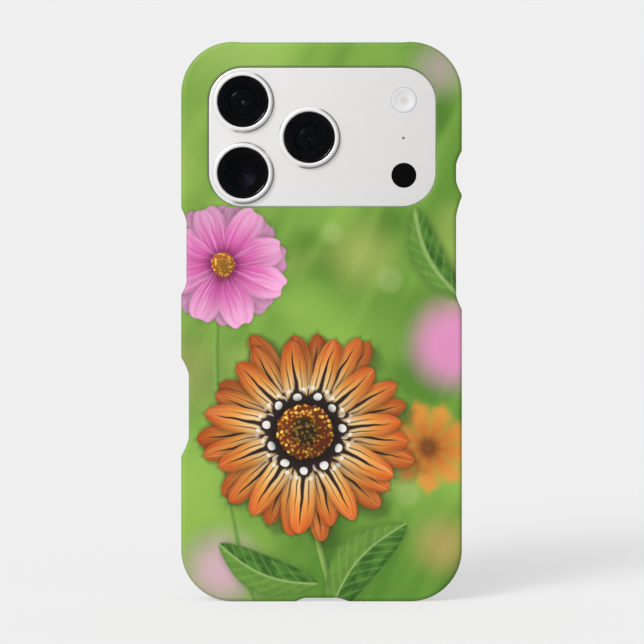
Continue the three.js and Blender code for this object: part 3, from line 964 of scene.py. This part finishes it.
def printed_case(print_coat, plastic):
    """One section swept round the edge, with the camera opening and the windows cut through it."""
    stations = case_stations()
    sections = [case_section(scoop) for _, _, scoop in stations]
    bm = bmesh.new()
    print_layer = bm.loops.layers.uv.new("PrintMap")
    rim_layer = bm.loops.layers.uv.new("RimMap")
    on_print, round_rim = {}, {}

    def sweep(k):
        ring = []
        for (edge_place, out, _), section in zip(stations, sections):
            inset, y, _ = section[k]
            x, z = edge_place - out * inset
            passed = section[: k + 1]
            travelled = sum(math.dist(p[:2], q[:2]) for p, q in zip(passed, passed[1:]))
            vert = bm.verts.new((x, y, z))
            on_print[vert] = edge_place - out * (section[0][0] - travelled)
            round_rim[vert] = travelled
            ring.append(vert)
        return ring

    edge = [sweep(k) for k in range(len(sections[0]))]
    for k in range(1, len(edge)):
        join_rings(bm, edge[k - 1], edge[k], PRINTED if sections[0][k - 1][2] else PLAIN)

    hole = []
    for grow, y in opening_sections():
        width, height = OPENING["width"] + 2 * grow, OPENING["height"] + 2 * grow
        outline = rounded_outline(width, height, OPENING["corner"] + grow, OPENING["x"], OPENING["z"])
        hole.append([bm.verts.new((x, y, z)) for x, z in outline])
        on_print.update(zip(hole[-1], outline))
    for k in range(1, len(hole)):
        last = k == len(hole) - 1
        join_rings(bm, hole[k], hole[k - 1], PLAIN if last else PRINTED)

    flat_face(bm, edge[0], hole[0], PRINTED)
    flat_face(bm, edge[-1], hole[-1], PLAIN)
    for face in bm.faces:
        for loop in face.loops:
            loop[print_layer].uv = on_print[loop.vert] / PRINT_UNIT
            loop[rim_layer].uv = (round_rim.get(loop.vert, 0.0) / PRINT_UNIT, 0.0)
    case = finish_mesh("printed_case", bm, print_coat, plastic)

    tools = [finish_mesh("window_cutter", bm, print_coat, plastic) for bm in window_cutters()]
    for tool in tools:
        tool.data.polygons.foreach_set("material_index", [PLAIN] * len(tool.data.polygons))
    cut_with(case, tools)
    return soften(case, 40)


# ---- Handset ----
def phone_outline(inset):
    width, height = PHONE_WIDTH - 2 * inset, PHONE_HEIGHT - 2 * inset
    return rounded_outline(width, height, PHONE_CORNER - inset, 0, MIDDLE_Z)


def plateau_outline(inset):
    gap = PLATEAU_GAP + inset
    width, height = OPENING["width"] - 2 * gap, OPENING["height"] - 2 * gap
    x, z = OPENING["x"] + PLATEAU_SHIFT, OPENING["z"] - PLATEAU_SHIFT
    return rounded_outline(width, height, OPENING["corner"] - gap, x, z)


def screen_seat_outline(_):
    return phone_outline(SCREEN_INSET - INLAY_GAP)


def panel_seat_outline(_):
    width = PANEL_HIGH[0] - PANEL_LOW[0] + 2 * INLAY_GAP
    height = PANEL_HIGH[2] - PANEL_LOW[2] + 2 * INLAY_GAP
    return rounded_outline(width, height, PANEL_CORNER + INLAY_GAP, 0, (PANEL_LOW[2] + PANEL_HIGH[2]) / 2)


def seat(x, z, radius, depth, steps=64):
    """A round cutter that sinks `depth` into the plateau."""
    above = CUTTER_SPARE
    profile = [(0, above), (radius, above), (radius, -depth), (0, -depth)]
    return moved(lathe(profile, steps), (x, PLATEAU_Y, z))


def key_recess(key):
    """A bar that sinks a key's recess into the side of the handset."""
    low, high = node_box(key)
    side = 1 if low[0] > 0 else -1
    length, width = high[2] - low[2] + 2 * KEY_GAP, high[1] - low[1] + 2 * KEY_GAP
    bm = outward(bar(length, width, KEY_RECESS + CUTTER_SPARE), side)
    return moved(bm, (side * (PHONE_WIDTH / 2 - KEY_RECESS), MIDDLE_Y, (low[2] + high[2]) / 2))


def handset_body(metal):
    """One metal body with its camera plateau, seats, key recesses, port and speaker holes."""
    blank = slab(phone_outline, PHONE_BACK_Y, PHONE_FRONT_Y, PHONE_RIM, PHONE_RIM)
    body = finish_mesh("handset_body", blank)
    into_body = 3
    plateau = slab(plateau_outline, PLATEAU_Y, PHONE_BACK_Y + into_body, PLATEAU_RIM, 0, 8)
    cut_with(body, [finish_mesh("plateau", plateau)], "UNION")

    cutters = [
        slab(screen_seat_outline, SCREEN_LOW[1] - INLAY_GAP, PHONE_FRONT_Y + CUTTER_SPARE),
        slab(panel_seat_outline, PHONE_BACK_Y - CUTTER_SPARE, PANEL_HIGH[1] + INLAY_GAP),
    ]
    cutters += [key_recess(key) for key in KEYS]
    for lens in LENSES:
        x, _, z = middle_of("lens_ring_" + lens)
        cutters.append(seat(x, z, RING_STEM + INLAY_GAP, SEAT_DEPTH, 96))
        cutters.append(seat(x, z, BARREL_BORE, BARREL_DEPTH))
    for inlay, radius in (("flash_lens", FLASH_RADIUS), ("depth_sensor", SENSOR_RADIUS)):
        x, _, z = middle_of(inlay)
        cutters.append(seat(x, z, radius + INLAY_GAP, INLAY_DEPTH))
    cutters.append(seat(REAR_MIC["x"], REAR_MIC["z"], REAR_MIC["radius"], REAR_MIC["depth"], 32))
    socket = turned(bar(PORT["width"], PORT["height"], PORT["depth"] + CUTTER_SPARE), -90, "Y")
    cutters.append(moved(socket, (0, MIDDLE_Y, CASE_REACH - CUTTER_SPARE)))
    tools = [finish_mesh("seat_cutter", bm) for bm in cutters]
    tools.append(speaker_drills())
    cut_with(body, tools)
    body.data.materials.clear()
    body.data.materials.append(metal)
    return soften(body, 30)


# ---- Geometry Nodes: rows of equal pieces ----
class NodeRows:
    """A node tree that sets a shape out in rows, with its sizes as named inputs."""

    def __init__(self, name, **sizes):
        self.tree = bpy.data.node_groups.new(name, "GeometryNodeTree")
        self.sizes = sizes
        for label, value in sizes.items():
            kind = "NodeSocketInt" if isinstance(value, int) else "NodeSocketFloat"
            self.tree.interface.new_socket(name=label, in_out="INPUT", socket_type=kind)
        self.tree.interface.new_socket(name="Geometry", in_out="OUTPUT", socket_type="NodeSocketGeometry")
        self.inputs = self.node("NodeGroupInput")

    def node(self, kind, links=None, **settings):
        node = self.tree.nodes.new(kind)
        for label, value in settings.items():
            setattr(node, label, value)
        for slot, value in (links or {}).items():
            if isinstance(value, bpy.types.NodeSocket):
                self.tree.links.new(value, node.inputs[slot])
            else:
                node.inputs[slot].default_value = value
        return node

    def size(self, label):
        return self.inputs.outputs[label]

    def reckon(self, operation, first, second):
        return self.node("ShaderNodeMath", {0: first, 1: second}, operation=operation).outputs[0]

    def point(self, x=0.0, y=0.0, z=0.0):
        return self.node("ShaderNodeCombineXYZ", {0: x, 1: y, 2: z}).outputs[0]

    def row(self, shape, first, pitch, count):
        """The shape repeated from the place `first`, a pitch apart."""
        links = {"Count": count, "Start Location": first, "Offset": pitch}
        line = self.node("GeometryNodeMeshLine", links).outputs[0]
        return self.node("GeometryNodeInstanceOnPoints", {"Points": line, "Instance": shape}).outputs[0]

    def piece(self, name, rows, material):
        """The rows made real, given their material, and baked into a plain mesh."""
        together = self.node("GeometryNodeJoinGeometry")
        for row in rows:
            self.tree.links.new(row, together.inputs[0])
        real = self.node("GeometryNodeRealizeInstances", {0: together.outputs[0]}).outputs[0]
        painted = self.node("GeometryNodeSetMaterial", {"Geometry": real, "Material": material}).outputs[0]
        self.node("NodeGroupOutput", {0: painted})
        piece = bpy.data.objects.new(name, bpy.data.meshes.new(name))
        bpy.context.scene.collection.objects.link(piece)
        modifier = piece.modifiers.new(name, "NODES")
        modifier.node_group = self.tree
        for item in self.tree.interface.items_tree:
            if item.in_out == "INPUT":
                modifier[item.identifier] = self.sizes[item.name]
        bake_modifiers(piece)
        return piece


def speaker_drills():
    """Round drills for both rows of speaker holes, to be taken out of the body."""
    depth = SPEAKER["depth"]
    rows = NodeRows(
        "speaker_drills",
        First=SPEAKER["first"] * MM,
        Pitch=SPEAKER["pitch"] * MM,
        Holes=SPEAKER["holes"],
        Radius=SPEAKER["radius"] * MM,
        Length=(depth + CUTTER_SPARE) * MM,
    )
    links = {"Vertices": 32, "Radius": rows.size("Radius"), "Depth": rows.size("Length")}
    drill = rows.node("GeometryNodeMeshCylinder", links).outputs["Mesh"]
    made = []
    for side in (-1, 1):
        first = rows.reckon("MULTIPLY", rows.size("First"), side)
        start = rows.point(first, MIDDLE_Y * MM, (CASE_REACH + (depth - CUTTER_SPARE) / 2) * MM)
        step = rows.point(rows.reckon("MULTIPLY", rows.size("Pitch"), side))
        made.append(rows.row(drill, start, step, rows.size("Holes")))
    return rows.piece("speaker_drills", made, None)


def port_contacts(gold):
    """Gold contacts along both faces of the port's tongue."""
    low, high = node_box("port_tongue")
    rows = NodeRows(
        "port_contacts",
        Pitch=CONTACT["pitch"] * MM,
        Contacts=CONTACT["count"],
        Width=CONTACT["width"] * MM,
        Length=CONTACT["length"] * MM,
        Thickness=CONTACT["thickness"] * MM,
    )
    size = rows.point(rows.size("Width"), rows.size("Thickness"), rows.size("Length"))
    contact = rows.node("GeometryNodeMeshCube", {"Size": size}).outputs["Mesh"]
    spaces = rows.reckon("SUBTRACT", rows.size("Contacts"), 1)
    half_row = rows.reckon("MULTIPLY", rows.reckon("MULTIPLY", spaces, rows.size("Pitch")), -0.5)
    step = rows.point(rows.size("Pitch"))
    made = []
    proud = 0.03
    for face, side in ((low[1], -1), (high[1], 1)):
        start = rows.point(half_row, (face + side * proud) * MM, (low[2] + CONTACT["from_foot"]) * MM)
        made.append(rows.row(contact, start, step, rows.size("Contacts")))
    return rows.piece("port_contacts", made, gold)


# ---- Camera pieces ----
def turned_piece(name, profile, node, material, steps, sharp_angle):
    """A piece turned on the lathe, on the axis of its CAD node and with heights from the plateau."""
    x, _, z = middle_of(node)
    bm = moved(lathe(profile, steps), (x, PLATEAU_Y, z))
    return soften(finish_mesh(name, bm, material), sharp_angle)


def lens_skirt(lens, metal):
    """The narrow polished bevel round a ring's foot."""
    profile = [(RING_STEM, SEAT_GAP), (RING_FLARE, SEAT_GAP), (RING_OUTER, SEAT_GAP + SKIRT_RISE)]
    profile += [(RING_STEM, SEAT_GAP + SKIRT_RISE)]
    return turned_piece("lens_skirt_" + lens, profile, "lens_ring_" + lens, metal, 128, 20)


def lens_ring(lens, metal):
    """A ring with a full rounded rim, seated in the plateau."""
    foot = SEAT_GAP - SEAT_DEPTH
    off_skirt = 0.02
    stem = RING_STEM - off_skirt
    shoulder = SEAT_GAP + SKIRT_RISE + off_skirt
    profile = [(RING_INNER, foot), (stem, foot), (stem, shoulder), (RING_OUTER, shoulder)]
    profile += curve_points((RING_OUTER - RING_RIM, RING_PROUD - RING_RIM), RING_RIM, 0, 90, 12)
    profile += curve_points((RING_INNER + RING_MOUTH, RING_PROUD - RING_MOUTH), RING_MOUTH, 90, 180, 4)
    node = "lens_ring_" + lens
    return turned_piece(node + "_polished", profile, node, metal, 128, 50)


def lens_glass(lens, glass):
    """The cover glass, a thin pane with a ground edge."""
    back = LENS_PROUD - COVER_THICKNESS
    profile = [(0, back), (LENS_GLASS, back)]
    profile += curve_points((LENS_GLASS - COVER_EDGE, LENS_PROUD - COVER_EDGE), COVER_EDGE, 0, 90, 4)
    profile += [(0, LENS_PROUD)]
    node = "lens_glass_" + lens
    return turned_piece(node + "_cover", profile, node, glass, 96, 40)


def lens_barrel(lens, black, stops):
    """The blackened barrel: a mask, a bevelled stop, and stepped baffles down to the optics."""
    outer = LENS_GLASS - 0.05
    height = BARREL_TOP
    foot = SEAT_GAP - SEAT_DEPTH
    bevel, floor_thickness = 0.3, 0.4
    profile = [(outer, foot), (outer, height), (stops[0], height), (stops[0] - bevel, height - bevel)]
    for stop in stops[1:]:
        height -= BAFFLE_DROP
        profile += [(profile[-1][0] - 0.06, height), (stop, height - 0.04), (stop - 0.05, height - 0.25)]
    floor = 0.2 - BARREL_DEPTH
    top = floor + floor_thickness
    tube = BARREL_BORE - 0.1
    profile += [(profile[-1][0] - 0.4, top), (0, top), (0, floor), (tube, floor), (tube, foot)]
    return turned_piece("lens_barrel_" + lens, profile, "lens_glass_" + lens, black, 96, 20)


def sphere_cap(radius_from, radius_to, curve, edge, steps):
    """Profile points over a crown (curve above 0) or into a dish (below 0) that starts at a height."""
    sag = curve - math.copysign(math.sqrt(curve**2 - radius_from**2), curve)
    points = []
    for i in range(steps + 1):
        radius = radius_from + (radius_to - radius_from) * i / steps
        here = curve - math.copysign(math.sqrt(curve**2 - radius**2), curve)
        points.append((radius, edge + sag - here))
    return points


def lens_element(lens, radius, crown, coat):
    """The front element, its crown or dish running down to a dimple with a bead of glass in it."""
    edge, dimple, bead = ELEMENT["edge"], ELEMENT["dimple"], ELEMENT["bead"]
    foot = edge - ELEMENT["thickness"]
    bead_proud = 0.02
    profile = [(0, foot), (radius, foot)] + sphere_cap(radius, dimple, crown, edge, 12)
    profile += sphere_cap(dimple, bead, ELEMENT["dimple_curve"], profile[-1][1], 8)[1:]
    profile += sphere_cap(bead, 0.0, ELEMENT["bead_curve"], profile[-1][1] + bead_proud, 6)
    return turned_piece("front_element_" + lens, profile, "lens_glass_" + lens, coat, 72, 30)


def lens_stop(lens, black):
    """A glossy black stop whose bevel faces the lens axis."""
    inner, outer = STOP["radius"], STOP["radius"] + STOP["width"]
    foot = BARREL_TOP - 0.05
    low = BARREL_TOP + 0.005
    high = BARREL_TOP + STOP["width"] * math.tan(math.radians(STOP["slope"]))
    profile = [(inner, foot), (outer, foot), (outer, high), (inner, low)]
    return turned_piece("lens_stop_" + lens, profile, "lens_glass_" + lens, black, 96, 10)


def flash(finish):
    """A shallow dish with a soft rim, a low ring lens and its emitter in the middle."""
    foot = SEAT_GAP - INLAY_DEPTH
    face = -SEAT_GAP
    rim, bevel, steps = FLASH_RADIUS + 0.07, 0.05, 14
    profile = [(0, foot), (rim, foot), (rim, face - bevel), (rim - bevel, face)]
    for share in [i / steps for i in range(1, steps + 1)]:
        dish = FLASH_DISH * math.sin(0.5 * math.pi * share) ** 2
        ripple = FLASH_RIPPLE * math.sin(3 * math.pi * share)
        profile.append(((rim - bevel) * (1 - share), face - dish + ripple))
    return turned_piece("flash_lens_dish", profile, "flash_lens", finish, 72, 50)


def depth_sensor(glass):
    """A black window with a bevelled rim, level with the plateau."""
    foot = SEAT_GAP - INLAY_DEPTH
    face = -SEAT_GAP
    rim, bevel = SENSOR_RADIUS + 0.06, 0.1
    profile = [(0, foot), (rim, foot), (rim, face - bevel), (rim - bevel, face), (0, face)]
    return turned_piece("depth_sensor_window", profile, "depth_sensor", glass, 72, 30)


def rear_microphone(dark):
    """A mesh disc in the microphone hole, its grey partly painted shade that darkens the hole."""
    into_wall = 0.02
    radius = REAR_MIC["radius"] + into_wall
    near = -MIC_MESH["sunk"]
    far = near - MIC_MESH["thickness"]
    disc = lathe([(0, far), (radius, far), (radius, near), (0, near)], 32)
    disc = moved(disc, (REAR_MIC["x"], PLATEAU_Y, REAR_MIC["z"]))
    return soften(finish_mesh("rear_microphone_mesh", disc, dark), 30)


# ---- Keys, screen and port ----
def key_cap(node, metal):
    """A round-ended cap with a rounded rim, standing out of its recess."""
    low, high = node_box(node)
    side = 1 if low[0] > 0 else -1
    bm = outward(bar(high[2] - low[2], high[1] - low[1], high[0] - low[0], 0, KEY_RIM), side)
    inner = low[0] if side > 0 else high[0]
    bm = moved(bm, (inner, MIDDLE_Y, (low[2] + high[2]) / 2))
    return soften(finish_mesh(node + "_cap", bm, metal), 50)


def screen_panel(glass):
    """The screen's glass, its rim rounded and a fine slot for the earpiece sunk at its top."""

    def panel_outline(inset):
        return phone_outline(SCREEN_INSET + inset)

    def slot_outline(_):
        length, width = EARPIECE["length"], EARPIECE["width"]
        z = MIDDLE_Z + PHONE_HEIGHT / 2 - EARPIECE["from_top"]
        return rounded_outline(length, width, width / 2, 0, z, 8)

    front = PHONE_FRONT_Y
    panel = finish_mesh("screen_panel", slab(panel_outline, SCREEN_LOW[1], front, 0, SCREEN_RIM, 5), glass)
    slot = slab(slot_outline, front - EARPIECE["depth"], front + CUTTER_SPARE)
    cut_with(panel, [finish_mesh("earpiece_cutter", slot)])
    return soften(panel, 40)


def port_tongue(plastic):
    """The tongue in the socket, a plate with its edges eased."""
    low, high = node_box("port_tongue")
    bm = bmesh.new()
    bmesh.ops.create_cube(bm, size=1.0)
    bmesh.ops.scale(bm, vec=Vector(high - low), verts=bm.verts)
    moved(bm, middle_of("port_tongue"))
    bmesh.ops.bevel(bm, geom=bm.edges[:], offset=0.15, segments=2, affect="EDGES")
    return soften(finish_mesh("port_tongue_moulding", bm, plastic), 40)


# ---- Floor, light and camera: levels are linear, and 1.0 is white ----
FLOOR_TONE = linear(239, 239, 239)[0]
FLOOR_ALBEDO = 0.16
SHADOW_SHARE = 0.21
KEY_LEVEL = 0.404
KEY_HEADING = (0.57, 0.82, 0)
KEY_ELEVATION = math.radians(31)
KEY_SPREAD = math.radians(18)
SHADOW_SPREAD = math.radians(42)
SKY_EVEN = 0.72
SKY_LEFT, SKY_MIDDLE, SKY_RIGHT = 1.04, 0.26, 0.2
SKY_TILT = math.radians(20)
CAMERA = dict(x=0.14, z=78.13, distance=599.2, lens=120.0, sensor=36.0)


def floor_and_sky():
    """A wide pale floor and backdrop with no horizon, in even light that gloss sees dimmed on the right."""
    glow = FLOOR_TONE * (1 - SHADOW_SHARE) - FLOOR_ALBEDO * SKY_EVEN
    bpy.ops.mesh.primitive_plane_add(size=400.0)
    floor = bpy.context.object
    floor.name = "floor"
    material, shader = new_material("floor_paper", Roughness=0.9, Specular_IOR_Level=0.0)
    shader.inputs["Base Color"].default_value = grey(FLOOR_ALBEDO)
    shader.inputs["Emission Color"].default_value = grey(glow)
    shader.inputs["Emission Strength"].default_value = 1.0
    floor.data.materials.append(material)
    floor.visible_glossy = False

    world = bpy.data.worlds.new("studio_sky")
    world.use_nodes = True
    tree = world.node_tree
    across, _, up = axes_of(Field(tree.nodes.new("ShaderNodeTexCoord").outputs["Generated"]))
    rays = tree.nodes.new("ShaderNodeLightPath").outputs
    away = across * math.cos(SKY_TILT) - up * math.sin(SKY_TILT)
    in_gloss = rise(away, 0.07, -0.11) * (SKY_LEFT - SKY_MIDDLE)
    in_gloss = in_gloss + rise(away, 0.95, 0.05) * (SKY_MIDDLE - SKY_RIGHT)
    in_gloss = in_gloss + (SKY_RIGHT - SKY_EVEN)
    level = Field(rays["Is Glossy Ray"]) * in_gloss + SKY_EVEN
    level = level + Field(rays["Is Camera Ray"]) * (FLOOR_TONE - SKY_EVEN)
    feed(tree.nodes["Background"].inputs["Strength"], level)
    tree.nodes["Background"].inputs["Color"].default_value = grey(1.0)
    world.cycles.sampling_method = "NONE"
    bpy.context.scene.world = world
    return floor


def lamp(name, level, spread):
    """A lamp far off, high on the left in front, that lights a white floor to `level`."""
    travel = Vector(KEY_HEADING).normalized() * math.cos(KEY_ELEVATION)
    travel.z = -math.sin(KEY_ELEVATION)
    light = bpy.data.lights.new(name, "SUN")
    light.energy = math.pi * level / math.sin(KEY_ELEVATION)
    light.angle = spread
    stand = bpy.data.objects.new(name, light)
    stand.rotation_euler = travel.to_track_quat("-Z", "Y").to_euler()
    bpy.context.scene.collection.objects.link(stand)
    return stand


def lamps(floor):
    """The key, and a broad lamp for the floor alone that softens the shadow thrown back to the right."""
    lamp("key", KEY_LEVEL, KEY_SPREAD)
    wash_level = FLOOR_TONE * SHADOW_SHARE / FLOOR_ALBEDO - KEY_LEVEL
    wash = lamp("floor_wash", wash_level, SHADOW_SPREAD)
    lit = bpy.data.collections.new("lit_by_floor_wash")
    lit.objects.link(floor)
    wash.light_linking.receiver_collection = lit


def camera():
    data = bpy.data.cameras.new("camera")
    data.sensor_width = CAMERA["sensor"]
    data.lens = CAMERA["lens"]
    data.clip_end = 1000.0
    view = bpy.data.objects.new("camera", data)
    view.location = Vector((CAMERA["x"], CASE_BACK_Y - CAMERA["distance"], CAMERA["z"])) * MM
    view.rotation_euler = (math.radians(90), 0, 0)
    bpy.context.scene.collection.objects.link(view)
    bpy.context.scene.camera = view


# ---- Putting it together ----
def settle(piece, body, slot, *nodes):
    """Give a piece its body and hide the CAD nodes that it stands for; the slot is not used."""
    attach(piece, body)
    if nodes:
        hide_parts(*nodes)


def build():
    satin = metal_finish("satin_aluminium", linear(233, 232, 230), 0.66, 0.29, 0.003)
    polished = metal_finish("polished_aluminium", linear(229, 228, 226), 0.52, 0.24, 0)
    key_metal = metal_finish("key_aluminium", linear(236, 235, 232), 0.6, 0.38, 0.005)
    gold = metal_finish("contact_gold", linear(216, 170, 84), 0.95, 0.3, 0)
    back_glass = gloss_finish("back_glass_matte", linear(224, 223, 220), 0.4, 0.4)
    black = gloss_finish("barrel_black", linear(4, 4, 5), 0.5, 0.02)
    cover = gloss_finish("cover_glass", linear(28, 30, 33), 0.02, 0.0, Alpha=0.1)
    sensor = gloss_finish("sensor_glass", linear(8, 8, 9), 0.08, 0.03)
    # The microphone mesh's grey is partly painted shade, set to darken the hole.
    mic_mesh_and_shade = gloss_finish("microphone_mesh_and_shade", linear(118, 118, 118), 0.6, 0.2)
    port_black = gloss_finish("port_plastic", linear(44, 44, 46), 0.45, 0.4)

    settle(printed_case(printed_finish(), case_plastic_finish()), HANDSET, "printed_case", "case_shell")
    settle(handset_body(satin), HANDSET, "satin_aluminium", "phone_frame")
    settle(screen_panel(screen_finish()), HANDSET, "screen_glass", "screen_glass")
    settle(flash(flash_finish()), HANDSET, "flash_lens", "flash_lens")
    settle(depth_sensor(sensor), HANDSET, "sensor_glass", "depth_sensor")
    settle(rear_microphone(mic_mesh_and_shade), HANDSET, "satin_aluminium")
    settle(port_tongue(port_black), HANDSET, "port_plastic", "port_tongue")
    settle(port_contacts(gold), HANDSET, "port_plastic")
    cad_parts["back_panel"].data.materials.clear()
    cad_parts["back_panel"].data.materials.append(back_glass)

    skirt = metal_finish("skirt_aluminium", linear(226, 226, 228), 1.0, 0.16, 0)
    stop = gloss_finish("stop_black", linear(8, 8, 9), 0.14, 0.1)
    # The last colour of each coat is the bead's painted highlight, a pale speck of reflected light.
    coats = dict(
        upper=coated_finish("upper", linear(5, 5, 8), linear(4, 5, 9), linear(70, 72, 78), 0.1),
        lower=coated_finish("lower", linear(15, 10, 19), linear(12, 9, 17), linear(26, 24, 30), 0.4, 1.0),
        middle=coated_finish("middle", linear(3, 5, 7), linear(5, 11, 15), linear(12, 17, 20), 0.12),
    )
    stops = dict(upper=(5.3, 4.7, 4.2), lower=(5.3, 4.8, 4.4), middle=(4.7, 4.2, 3.7))
    crowns = dict(upper=11.0, lower=-8.0, middle=9.0)
    for lens in LENSES:
        settle(lens_ring(lens, polished), HANDSET, "ring_aluminium", "lens_ring_" + lens)
        settle(lens_skirt(lens, skirt), HANDSET, "ring_aluminium")
        settle(lens_glass(lens, cover), HANDSET, "lens_glass", "lens_glass_" + lens)
        settle(lens_barrel(lens, black, stops[lens]), HANDSET, "lens_glass")
        settle(lens_stop(lens, stop), HANDSET, "lens_glass")
        element_radius = stops[lens][-1] - 0.3
        settle(lens_element(lens, element_radius, crowns[lens], coats[lens]), HANDSET, "lens_glass")
    for key in KEYS:
        settle(key_cap(key, key_metal), key, "key_aluminium", key)


camera()
lamps(floor_and_sky())
bpy.context.scene.view_settings.view_transform = "Standard"
build()
bpy.context.view_layer.update()
